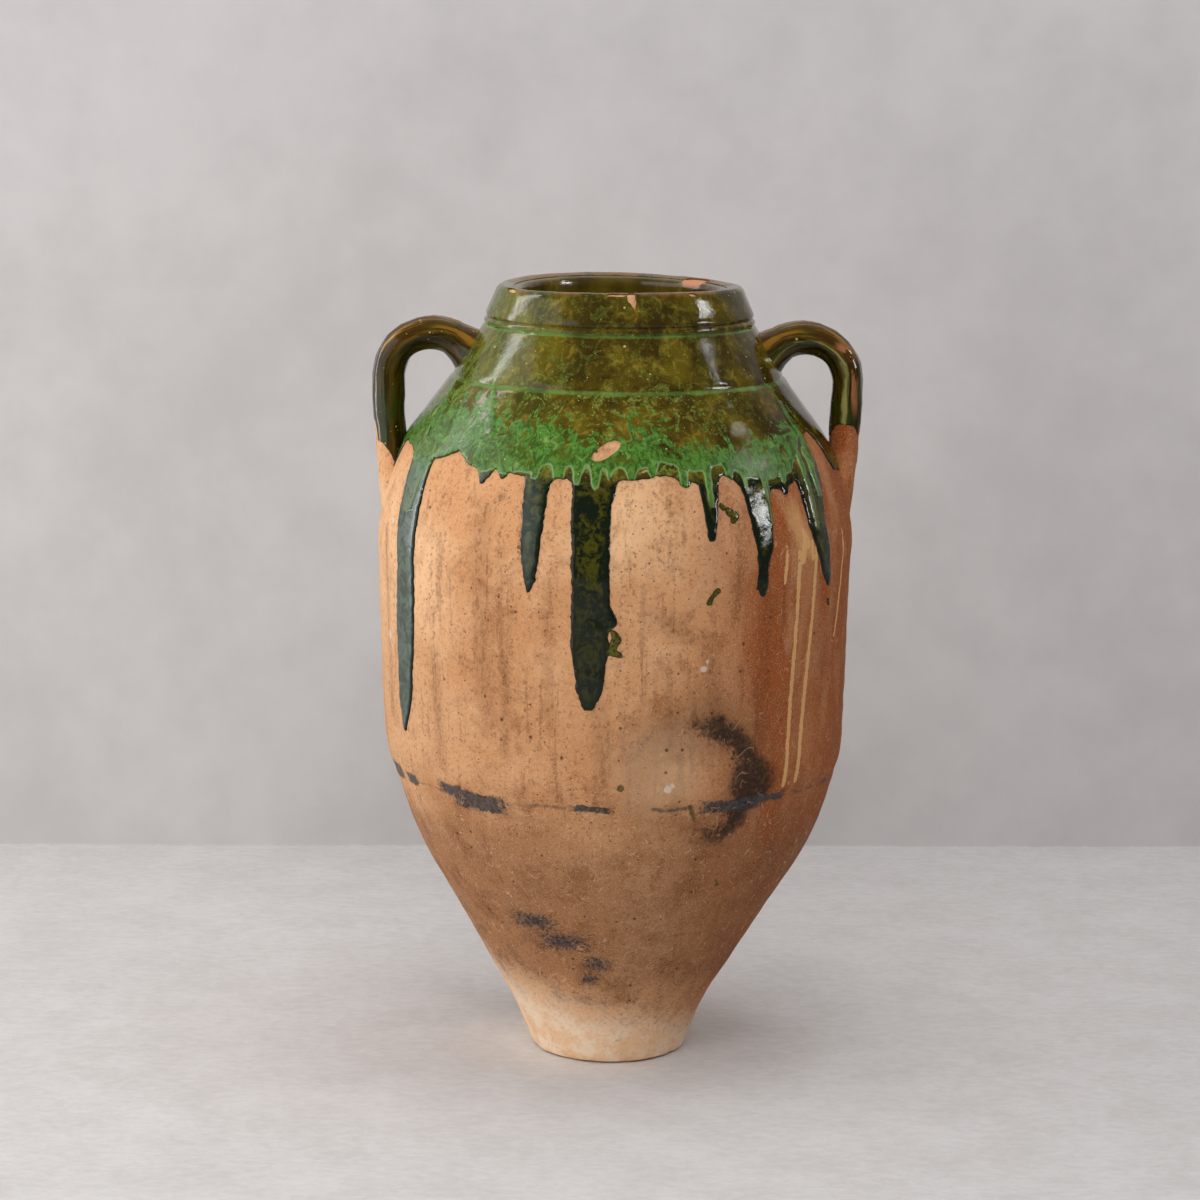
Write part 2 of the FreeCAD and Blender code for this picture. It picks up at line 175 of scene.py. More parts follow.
# %% Four thrown sections
FINE, COARSE = 3.6, 18
COLUMNS = 320
KNEE, SHOULDER = (193, 262, 70), (199.8, 487, 160)
SEAM, SEAM_INSIDE = (187.54, SEAM_HEIGHT), (177.4, 252.1)
JOIN, JOIN_INSIDE = (197.08, 397.0), (185.3, 403.8)
NECK = [
    (139.3, 571.5), (135.9, 574, 1.4), (136, 576.5), (113.2, 614.3, 1.6), (110.8, 617, 1.2),
    (112.3, 620, 1.2)]
UNDERCUT, UNDERCUT_INSIDE = (108.6, 622.8), (83, 628.8)
LIP = [(110.6, 625.2, 1.6), (100.2, 648.9, 4.0)]
LIP_INSIDE = [(83.6, 645.0, 3.0), (83, 640)]
SECTIONS = {
    "foot_cone": (
        [(0, 0), (59.5, 0), (65.2, 2.4, 1.5), (67.2, 7, 3), (82, 44, 160), (167, 186, 250), SEAM],
        [SEAM, SEAM_INSIDE, (153, 186), (50, 27), (41, 18), (0, 18)]),
    "belly_drum": ([SEAM, KNEE, JOIN], [JOIN, JOIN_INSIDE, (181, 262), SEAM_INSIDE, SEAM]),
    "shoulder_dome": (
        [JOIN, SHOULDER, *NECK, UNDERCUT],
        [
            UNDERCUT, UNDERCUT_INSIDE, (83, 612.7), (122.5, 574), (187.8, 487, 148), JOIN_INSIDE,
            JOIN]),
    "neck_collar": ([UNDERCUT, *LIP, *LIP_INSIDE], [LIP_INSIDE[-1][:2], UNDERCUT_INSIDE, UNDERCUT])}
for node, (outside, inside) in SECTIONS.items():
    section = turned(COLUMNS, (outside, FINE), (inside, COARSE))
    thrown(section)
    finish_piece(section, node)

# %% [markdown]
# The inside was glazed too, by swilling glaze round it. The lining is a thin closed cup, spun from
# one loop: up the clay's inner wall, over the inner edge of the lip, and back down a little further
# in. Only its throat shows, so that part has the fine rows.

# %% Glaze lining
LINING = 1.2
CUP = [
    (83, 612.7), (122.5, 574), (187.8, 487, 148), (181, 262), (153, 186), (50, 27), (41, 18),
    (0, 18)]
RIM = [(89.8, 646.3), (83.6, 645.0, 3.0), (83, 640), (83, 612.7)]
sunk = [(corner[0] + 0.4, corner[1] - 0.4, *corner[2:]) for corner in RIM]
cup_inside = [
    (max(0, corner[0] - LINING), corner[1] + (LINING if corner[1] < 20 else 0), *corner[2:])
    for corner in CUP]
rim_inside = [(corner[0] - LINING, corner[1] + LINING, *corner[2:]) for corner in RIM[1:]]
lining = turned(
    240, (sunk, 4), ([sunk[-1], *CUP[1:]], 14), (cup_inside, 14),
    ([(RIM[0][0], RIM[0][1] + LINING), *rim_inside, cup_inside[0]], 2.5),
    ([sunk[0], (RIM[0][0], RIM[0][1] + LINING)], 4))
thrown(lining)
finish_piece(lining, "inner_glaze", sharp_degrees=70)

# %% [markdown]
# Glaze flows while it is molten, so its edge is a smooth line with long tongues. It is written as a
# field: for a point of the wall, how many millimetres it lies outside (above zero) or inside (below
# zero) the glaze. A run is a chain of places with a half width at each, and a soft union blends the
# runs into the coat above, which gives the hollow curves between them. The front runs follow the
# photograph, and the back, which it doesn't show, has runs of the same kind.

# %% The runs of the glaze
WALL = 195.0
FRONT_RUNS = [
    [(-86, 524, 12), (-87, 486, 7), (-87.5, 468, 3.5)],
    [
        (-61.5, 520, 22), (-59.6, 480, 16.5), (-58.2, 434, 14.5), (-59.6, 368, 15.5),
        (-60.8, 318, 11), (-61.6, 291, 3)],
    [(-35, 514, 9), (-35, 505, 4)], [(-29.5, 516, 6), (-29.5, 511, 4.5)],
    [(-19.6, 508, 12), (-19.6, 493, 10), (-19.5, 455, 8), (-19.6, 432, 5), (-19.9, 422, 2.2)],
    [
        (-5.2, 512, 20), (-5.6, 488, 16), (-5.3, 425, 14.4), (-5.6, 376, 14.4), (-5.4, 347, 11),
        (-5.8, 333, 5.5)],
    [(-2.4, 408, 7), (-0.9, 400, 6.5)], [(17.5, 512, 7), (17.5, 508, 4.5)],
    [(24, 511, 11), (23.7, 482, 5.2), (23.5, 465.5, 3.8)],
    [
        (37.8, 504, 16), (37.9, 488, 13.2), (38, 456, 8.6), (37.4, 437, 5), (37.3, 423, 5.4),
        (37.3, 418, 3.4)],
    [(47.6, 510, 8), (47.6, 497, 4.2)],
    [
        (59, 520, 25), (58.5, 500, 20), (57.9, 470, 13.5), (59.8, 445, 10.5), (61.8, 424, 6),
        (62.2, 416.5, 2.6)]]
# Flecks of glaze that splashed onto the bare clay.
FLECKS = [
    [(28.4, 485, 2.8), (30.2, 480, 4), (29.4, 477, 3)], [(26.6, 489.5, 2.2), (27.2, 487, 2)],
    [(25, 422.5, 2.6), (23.6, 418.5, 1.6), (22.8, 414, 2.6)],
    [(0.1, 391, 2.4), (0.7, 386, 3.4), (-0.2, 376, 2.6), (1.6, 373, 2)],
    [(62.6, 402, 1.6), (62.9, 398, 1.5)], [(165, 470, 3), (166, 463, 2)]]
BACK_RUNS = [
    (104, 426, 8.3), (122, 366, 11.8), (139, 474, 6.4), (157, 405, 9.0), (181, 349, 13.5),
    (199, 461, 6.7), (214, 392, 9.9), (235, 444, 7.7), (246, 478, 5.8), (257, 379, 10.5)]
RUNS = FRONT_RUNS + [
    [
        (turn, 514, half * 1.35), (turn + 0.6, (tip + 508) / 2, half),
        (turn - 0.5, tip + half, half * 0.8), (turn - 0.4, tip + half * 0.5, half * 0.5)]
    for turn, tip, half in BACK_RUNS]
# The edge between runs, as degrees round the jar and height.
EDGE_LINE = [
    (-180, 509), (-150, 514), (-120, 507), (-100, 513), (-79, 521), (-66, 516), (-53, 515),
    (-46, 523), (-40, 514), (-33, 515), (-26, 511), (-13, 510), (5, 510), (13, 513), (21, 507),
    (28.5, 512), (36, 500), (45, 498), (51, 500), (60, 522), (67, 534), (70.5, 536), (73.5, 525),
    (77, 503), (84, 499), (105, 508), (140, 515), (180, 509)]
print(len(RUNS), "runs")


# %% The field of the glaze edge
def spots_of(bm):
    """The places in mm of every point of a mesh."""
    return np.array([vert.co for vert in bm.verts]) / MM


def places(bm):
    """Degrees round the jar and height in mm of every point of a mesh."""
    co = spots_of(bm)
    return np.degrees(np.arctan2(co[:, 0], -co[:, 1])), co[:, 2]


def to_chain(turn, height, chain):
    """Distance in mm from the wall to a chain of (degrees, height, half width), less the width."""
    nearest = np.full(turn.shape, FAR)
    for (turn_a, height_a, half_a), (turn_b, height_b, half_b) in zip(chain, chain[1:]):
        across = np.radians((turn - turn_a + 180) % 360 - 180) * WALL
        up = height - height_a
        run_across, run_up = math.radians(turn_b - turn_a) * WALL, height_b - height_a
        share = np.clip((across * run_across + up * run_up) / (run_across ** 2 + run_up ** 2), 0, 1)
        gap = np.hypot(across - share * run_across, up - share * run_up)
        nearest = np.minimum(nearest, gap - half_a - (half_b - half_a) * share)
    return nearest


def soft_union(fields, softness):
    """One field from several, with rounded hollows where they meet."""
    return -softness * np.log(sum(np.exp(-np.clip(field, -60, 60) / softness) for field in fields))


def ripple(bm, wavelength, size):
    """Smooth noise at every point of a mesh."""
    return size * np.array([noise.noise(vert.co / (wavelength * MM)) for vert in bm.verts])


def splashes(bm):
    """The field of the flecks that lie apart from the coat."""
    turn, height = places(bm)
    return np.minimum.reduce([to_chain(turn, height, chain) for chain in FLECKS])


def glaze_edge(bm):
    """The field of the coat's edge."""
    turn, height = places(bm)
    line = np.interp(turn, *zip(*EDGE_LINE))
    fields = [np.clip(line - height, -50, 50)] + [to_chain(turn, height, chain) for chain in RUNS]
    return (
        np.minimum(soft_union(fields, 2.2), splashes(bm)) + ripple(bm, 3.6, 0.9)
        + ripple(bm, 9, 0.9) + ripple(bm, 26, 0.9))


def front_edge(bm):
    """The coat's edge on the side that the photograph shows, and far away elsewhere."""
    return np.where(np.abs(places(bm)[0]) < 100, glaze_edge(bm), FAR)


# %% [markdown]
# The overglaze is a second, lighter green round the shoulder. It forms a band above the runs, which
# ends in small raised drips of its own. Three fields describe it: how far a point lies below the
# band's top, inside its lower edge, and inside a streak. The mesh carries them on its points as
# attributes, so that the material can draw their edges sharply.

# %% The field of the light green overglaze
DRIPS = [
    (-14.3, 500, 2.9), (-9.6, 505, 2.5), (-5, 503, 2.6), (-1.4, 510, 1.8), (4, 509, 2.9),
    (9.4, 510, 2.4), (17.3, 501, 2.4), (23.8, 488, 1.9), (30, 506, 2.2), (34.5, 500, 1.6),
    (41, 470, 1.8), (47.6, 502, 2.4), (57, 462, 1.8), (61, 486, 2.2), (-20.5, 508, 2.2),
    (-60.2, 470, 9)]
DRIPS += [
    (
        84 + 8.3 * step + 2.6 * math.sin(step * 2.1), 504 + 7 * math.sin(step * 1.3),
        2.5 + 0.6 * math.sin(step))
    for step in range(23)]
STREAKS = [
    [(-45.4, 573, 4.2), (-40.5, 553, 4.8), (-36.6, 539, 3.4)],
    [(-57, 566, 2.6), (-54.5, 550, 4), (-52, 533, 2.8)],
    [(-70, 570, 2.4), (-67, 545, 3.4), (-66, 522, 2.4)],
    [(-20, 545, 2), (-17.5, 530, 3.4), (-14.3, 512, 3)],
    [(62, 572, 2.6), (63, 545, 4), (62, 515, 6)]]
BAND_LOW = [(-180, 9), (-100, 9), (-80, -5), (-34, -5), (-25, 3), (-17, 9), (180, 9)]
BAND_LINE = [
    (-180, 533), (-140, 541), (-100, 534), (-70, 552), (-52, 556), (-40, 552), (-30, 552),
    (-22, 556), (-14, 546), (-8, 541), (0, 543), (6, 551), (12, 546), (20, 538), (30, 533),
    (45, 534), (58, 540), (68, 544), (74, 500), (98, 500), (110, 541), (150, 531), (180, 533)]


def green_top(bm):
    """How far a point lies below the top of the light green band, in mm."""
    turn, height = places(bm)
    return np.interp(turn, *zip(*BAND_LINE)) - height - ripple(bm, 30, 3)


def green_drips(bm):
    """How far a point lies inside the band's lower edge with its drips, in mm."""
    turn, height = places(bm)
    low = np.interp(turn, *zip(*EDGE_LINE)) + np.interp(turn, *zip(*BAND_LOW))
    fields = [low + ripple(bm, 12, 3) - height]
    fields += [
        to_chain(turn, height, [(angle, 521, half * 1.9), (angle, tip + half, half)])
        for angle, tip, half in DRIPS]
    return -soft_union(fields, 1.5) - ripple(bm, 8, 1.2)


def green_streaks(bm):
    """How far a point lies inside a streak that ran down from the groove, in mm."""
    turn, height = places(bm)
    return (
        -np.minimum.reduce([to_chain(turn, height, chain) for chain in STREAKS])
        - ripple(bm, 9, 2.4) - ripple(bm, 24, 2))


# %% [markdown]
# Where the coat was knocked, chips show the clay. They are left out of the coat by another field,
# of small tilted ovals on the wall and the lip.

# %% Chips in the glaze
# Degrees, radius, height, half length, half width and tilt in degrees.
CHIPS = [
    (-2.7, 167.5, 531, 14, 6.4, 40), (7.3, 176, 516, 3.4, 2.3, 10), (-60, 100.5, 648, 9, 2.2, -6),
    (-1, 100, 647.5, 9, 1.8, 0), (5.5, 100.5, 646, 5.5, 3.4, 80), (7, 104, 640, 1.1, 8, 4),
    (133, 91, 648, 14, 5, 0), (-14, 99.5, 648.5, 5, 1.2, 0), (74, 118, 606, 4.5, 3.2, 20),
    (-64, 166, 531, 5.5, 1.9, -60), (210, 168, 529, 6, 3, 30), (160, 101, 647, 6, 2.4, 0),
    (118, 160, 541, 3.5, 2.4, 70), (36, 100.6, 647, 5, 1.5, 0)]


def on_jar(turn, radius, height):
    """The place, in mm, at some degrees round the jar, a radius and a height."""
    angle = math.radians(turn)
    return radius * math.sin(angle), -radius * math.cos(angle), height


def chips(bm):
    """Above zero where a chip is missing from the coat."""
    co = spots_of(bm)
    missing = np.full(len(co), -FAR)
    for turn, radius, height, half_length, half_width, tilt in CHIPS:
        angle, lean = math.radians(turn), math.radians(tilt)
        offset = co - np.array(on_jar(turn, radius, height))
        across = offset @ np.array([math.cos(angle), math.sin(angle), 0])
        outward = offset @ np.array([math.sin(angle), -math.cos(angle), 0])
        up = np.hypot(outward, offset[:, 2]) * np.sign(offset[:, 2] - outward)
        length = across * math.cos(lean) + up * math.sin(lean)
        width = up * math.cos(lean) - across * math.sin(lean)
        missing = np.maximum(
            missing, half_width * (1 - np.hypot(length / half_length, width / half_width)))
    return missing + ripple(bm, 3, 0.8)


# %% [markdown]
# The coat starts as the wall's own profile, spun with small faces. The line where the field is zero
# is cut into the faces, and so are two lines further in, then everything outside is deleted. Faces
# are cut as triangles, because a line always crosses a triangle from side to side. The points are
# lifted by the glaze's thickness, which follows a quarter circle at the edge, and an inner skin
# just under the clay's surface closes the shell. A boolean would give the outline too, but not the
# rounded edge.


# %% Cut a mesh along a field and give it a glaze's thickness
EDGE_ROUND, DRIP_ROUND, STREAK_ROUND = 2.8, 1.8, 2
EDGE_CUTS = (0, -0.6, -EDGE_ROUND)
SNAP, SUNK, CLEAR = 0.2, 0.5, 0.05
BAND_FADE = 16


def cut_along(bm, layer, level):
    """Cuts the faces, as triangles, along the line where a field has this level."""
    bmesh.ops.triangulate(bm, faces=[face for face in bm.faces if len(face.verts) > 3])
    on_line = []
    for vert in bm.verts:
        if abs(vert[layer] - level) < SNAP:
            vert[layer] = level
            on_line.append(vert)
    for edge in bm.edges[:]:
        first, last = edge.verts
        before, after = first[layer] - level, last[layer] - level
        if before * after < 0:
            vert = bmesh.utils.edge_split(edge, first, before / (before - after))[1]
            vert[layer] = level
            on_line.append(vert)
    bmesh.ops.connect_verts(bm, verts=on_line)


def refine(bm, field_of, reach):
    """Divides the faces that lie within reach of the line where a field is zero."""
    bm.verts.index_update()
    near = np.abs(field_of(bm)) < reach
    edges = [edge for edge in bm.edges if near[edge.verts[0].index] and near[edge.verts[1].index]]
    bmesh.ops.subdivide_edges(bm, edges=edges, cuts=1, use_grid_fill=True)


def only(kind, items):
    """The items of one kind, of those that a bmesh operator made."""
    return [item for item in items if isinstance(item, kind)]


def quarter_round(depth, width):
    """The height, of 0 to 1, of a round edge at some depth inside it."""
    return math.sqrt(1 - (1 - min(1, max(0, depth) / width)) ** 2)


def keep_inside(bm, layer):
    """Deletes the faces that lie outside a field's zero line."""
    outside = [face for face in bm.faces if sum(vert[layer] for vert in face.verts) > 0]
    bmesh.ops.delete(bm, geom=outside, context="FACES")


def open_pinches(bm):
    """Deletes the faces round points where two edges of an open skin touch."""
    while True:
        pinched = [
            vert for vert in bm.verts if sum(edge.is_boundary for edge in vert.link_edges) > 2]
        if not pinched:
            return
        bmesh.ops.delete(
            bm, geom=list({face for vert in pinched for face in vert.link_faces}), context="FACES")


def glaze_shell(bm, fields, thickness, drip_thickness=0.6):
    """Turns an open skin into a closed coat of glaze with a round edge and raised drips."""
    layers = {}
    for name, values in fields.items():
        layers[name] = bm.verts.layers.float.new(name)
        for vert, value in zip(bm.verts, values):
            vert[layers[name]] = value
    edge, chip, band, drip, streak = (
        layers[name] for name in ("glaze_edge", "chip", "band", "drip", "streak"))
    bmesh.ops.delete(
        bm, geom=[face for face in bm.faces if min(vert[edge] for vert in face.verts) > 1],
        context="FACES")
    cuts = [(edge, level) for level in EDGE_CUTS]
    for layer, level in cuts + [(drip, 0), (drip, 0.5), (streak, 0), (chip, 0)]:
        cut_along(bm, layer, level)
    keep_inside(bm, edge)
    keep_inside(bm, chip)
    open_pinches(bm)
    bmesh.ops.delete(bm, geom=[vert for vert in bm.verts if not vert.link_faces], context="VERTS")
    bmesh.ops.triangulate(bm, faces=[face for face in bm.faces if len(face.verts) > 4])
    bm.normal_update()
    outer = bm.verts[:]
    spots, normals = [vert.co.copy() for vert in outer], [vert.normal.copy() for vert in outer]
    skin = bmesh.ops.extrude_face_region(bm, geom=bm.faces[:], use_keep_orig=True)
    for vert in only(bmesh.types.BMVert, skin["geom"]):
        vert.co -= vert.normal * SUNK * MM
    for vert, spot, normal in zip(outer, spots, normals):
        swell = 1 + 0.22 * noise.noise(spot / (16 * MM)) + 0.1 * noise.noise(spot / (5 * MM))
        fade = min(1, max(0, vert[band] / BAND_FADE))
        raised = (
            quarter_round(vert[drip], DRIP_ROUND) * fade * fade * (3 - 2 * fade)
            + 0.6 * quarter_round(vert[streak], STREAK_ROUND))
        lift = thickness * swell * quarter_round(-vert[edge], EDGE_ROUND) + drip_thickness * raised
        vert.co = spot + normal * (lift + CLEAR) * MM
    bmesh.ops.recalc_face_normals(bm, faces=bm.faces[:])


# %% The coat on collar, shoulder and belly
coat = turned(216, ([(193.65, 284), SHOULDER, *NECK, (*UNDERCUT, 0.8), *LIP, (89.8, 646.4)], 4.5))
for field_of, reach in (
        (glaze_edge, 5), (green_drips, 3), (green_streaks, 3), (chips, 3), (front_edge, 1.6)):
    refine(coat, field_of, reach)
bmesh.ops.recalc_face_normals(coat, faces=coat.faces[:])
if sum(face.normal.dot(face.calc_center_median() * Vector((1, 1, 0))) for face in coat.faces) < 0:
    bmesh.ops.reverse_faces(coat, faces=coat.faces[:])
fields = {
    "glaze_edge": glaze_edge(coat), "chip": chips(coat), "band": green_top(coat),
    "drip": green_drips(coat), "streak": green_streaks(coat), "splash": splashes(coat) < 2}
thrown(coat)
glaze_shell(coat, fields, thickness=1.5)
finish_piece(coat, "shoulder_glaze", sharp_degrees=75)

# %% [markdown]
# A pulled handle is a strap of clay that was stroked out wet, stuck to the neck, bent over and
# pressed onto the belly. It is modelled as a straight tube first: a circle of points, extruded once
# for each station of its path. Then each ring is moved to its station, and the rings are wider
# where the ends were smeared onto the wall. Its glaze is the same tube, open at both ends, cut by a
# ragged edge and thickened as the coat was.

# %% Stations of the handle's path
LOOP_AXIS, LOOP_HEIGHT, LOOP_RADIUS = 154.0, 570.0, 37.0
THICK, WIDE = 25.0, 35.0
ROOT_TURN, ROOT_LENGTH = 115, 45
LEG_AXIS, LEG_DROP = LOOP_AXIS + LOOP_RADIUS, 128


def handle_stations():
    """Centre, tilt in degrees, thickness and width of each ring, from the neck to the belly."""
    stations = []
    start = math.radians(ROOT_TURN)
    for share, swell in (
            (1.0, 2.4), (0.75, 2.1), (0.56, 1.84), (0.42, 1.6), (0.3, 1.4), (0.19, 1.24),
            (0.09, 1.14)):
        sag = (swell - 1) * THICK * 0.3
        along = ROOT_LENGTH * share
        across = LOOP_AXIS + (LOOP_RADIUS - sag) * math.cos(start) - along * math.sin(start)
        height = LOOP_HEIGHT + (LOOP_RADIUS - sag) * math.sin(start) + along * math.cos(start)
        stations.append((across, height, 65, THICK * swell, WIDE * (1 + (swell - 1) * 0.7)))
    for step in range(15):
        turn = ROOT_TURN - 8 * step
        angle = math.radians(turn)
        swell = 1 + 0.09 * max(0, (turn - 70) / 45)
        stations.append((
            LOOP_AXIS + LOOP_RADIUS * math.cos(angle), LOOP_HEIGHT + LOOP_RADIUS * math.sin(angle),
            180 - turn, THICK * swell * 1.02, WIDE * swell))
    for step in range(1, 17):
        share = step / 16
        smear = max(0, (share - 0.35) / 0.65)
        stations.append((
            LEG_AXIS - 7.5 * share ** 1.3, LOOP_HEIGHT - LEG_DROP * share, 183,
            THICK * (1 - 0.3 * smear ** 2), WIDE * (1 + 0.62 * smear ** 1.6)))
    return stations


def handle_tube(side, growth, around=48):
    """An open tube along the path, on the +X side for 1 and the -X side for -1."""
    stations = handle_stations()
    bm = bmesh.new()
    ring = bmesh.ops.create_circle(bm, segments=around, radius=1)["verts"]
    edges = list({edge for vert in ring for edge in vert.link_edges})
    for _ in stations[1:]:
        grown = bmesh.ops.extrude_edge_only(bm, edges=edges)["geom"]
        bmesh.ops.translate(bm, verts=only(bmesh.types.BMVert, grown), vec=(0, 0, 1))
        edges = only(bmesh.types.BMEdge, grown)
    lengthwise = [bm.verts.layers.float.new(name) for name in ("outer", "front", "along")]
    for vert in bm.verts:
        across, height, tilt, thick, wide = stations[round(vert.co.z)]
        for layer, value in zip(lengthwise, (vert.co.x, -vert.co.y, vert.co.z)):
            vert[layer] = value
        angle = math.radians(tilt)
        squared = 1 - 0.1 * vert.co.x ** 2 * vert.co.y ** 2
        out = (
            Vector((math.cos(angle), 0, -math.sin(angle))) * -vert.co.x * (thick / 2 + growth)
            / squared)
        depth = Vector((0, vert.co.y * (wide / 2 + growth) / squared, 0))
        spot = Vector((across, 0, height)) + out + depth
        wobble = (
            Vector((
                noise.noise(spot / 28 + Vector((side * 9, 0, 0))), 0.6 * noise.noise(spot / 33), 0))
            * 1.6)
        pulled = (
            0.6 * noise.noise(Vector((spot.x / 40, spot.y / 5, spot.z / 40)))
            + 0.7 * noise.noise(spot / 11))
        spot += wobble + out.normalized() * pulled
        vert.co = Vector((side * spot.x, spot.y, spot.z)) * MM
    bmesh.ops.recalc_face_normals(bm, faces=bm.faces[:])
    return bm


# %% Both handles
for side, name in ((1, "right"), (-1, "left")):
    bar = handle_tube(side, 0)
    rims = [edge for edge in bar.edges if edge.is_boundary]
    bmesh.ops.holes_fill(bar, edges=rims, sides=0)
    bmesh.ops.subdivide_edges(
        bar, edges=[edge for edge in bar.edges if edge.calc_length() > 5 * MM], cuts=1,
        use_grid_fill=True)
    bmesh.ops.recalc_face_normals(bar, faces=bar.faces[:])
    finish_piece(bar, f"handle_{name}")


# %% Glaze sleeves on the handles
def sleeve_edge(bm, side):
    """The field of a sleeve's ragged lower edge. The left one is bare on its outer face."""
    co = spots_of(bm)
    outer = np.clip((np.abs(co[:, 0]) - 180) / 22, -0.5, 1)
    front = np.clip(-co[:, 1] / 18, -1, 1)
    level = 529 + 5 * front if side > 0 else 500 + 34 * np.clip(outer, 0, 1) - 8 * front
    teeth = 6 * np.sin(co[:, 1] / 3.1 + outer * 3) + 3 * np.sin(co[:, 1] / 1.4)
    return level + 0.5 * teeth - co[:, 2] + ripple(bm, 9, 2.5)


for side, name in ((1, "right"), (-1, "left")):
    sleeve = handle_tube(side, 0.1, around=64)
    bmesh.ops.subdivide_edges(
        sleeve, edges=[edge for edge in sleeve.edges if edge.calc_length() > 3.2 * MM], cuts=1,
        use_grid_fill=True)
    none = np.full(len(sleeve.verts), -9.0)
    fields = {
        "glaze_edge": sleeve_edge(sleeve, side), "chip": none, "band": none, "drip": none,
        "streak": none, "on_handle": none * 0 + 1}
    glaze_shell(sleeve, fields, thickness=1.3)
    finish_piece(sleeve, f"handle_{name}_glaze", sharp_degrees=75)

# %% [markdown]
# Materials are sums of patterns. A small class wraps a node's socket, so that Python's signs add
# Math nodes, and one method adds any other node. All patterns read the Object coordinates in
# millimetres, which are the same in every piece, so stains and streaks run over the joints.


# %% Shader sums
def srgb(red, green, blue):
    """A colour from picture values of 0 to 255, as the renderer's linear values."""
    return (
        tuple(
            ((c / 255 + 0.055) / 1.055) ** 2.4 if c > 10 else c / 255 / 12.92
            for c in (red, green, blue))
        + (1.0,))


class Sum:
    """A socket that takes part in Python sums."""

    def __init__(self, finish, socket):
        self.finish, self.socket = finish, socket

    def math(self, operation, other=0.0, swapped=False):
        """A Math node on this sum and another, or a number."""
        first, second = (other, self) if swapped else (self, other)
        return self.finish.node("Math", {"operation": operation}, {0: first, 1: second})

    __add__ = __radd__ = partialmethod(math, "ADD")
    __sub__ = partialmethod(math, "SUBTRACT")
    __rsub__ = partialmethod(math, "SUBTRACT", swapped=True)
    __mul__ = __rmul__ = partialmethod(math, "MULTIPLY")
    __truediv__ = partialmethod(math, "DIVIDE")
    __abs__ = partialmethod(math, "ABSOLUTE")
    __or__ = partialmethod(math, "MAXIMUM")

    def rise(self, low, high):
        """A smooth step from 0 to 1 as the sum goes from low to high."""
        return self.finish.node(
            "MapRange", {"interpolation_type": "SMOOTHSTEP"},
            {"Value": self, "From Min": low, "From Max": high})


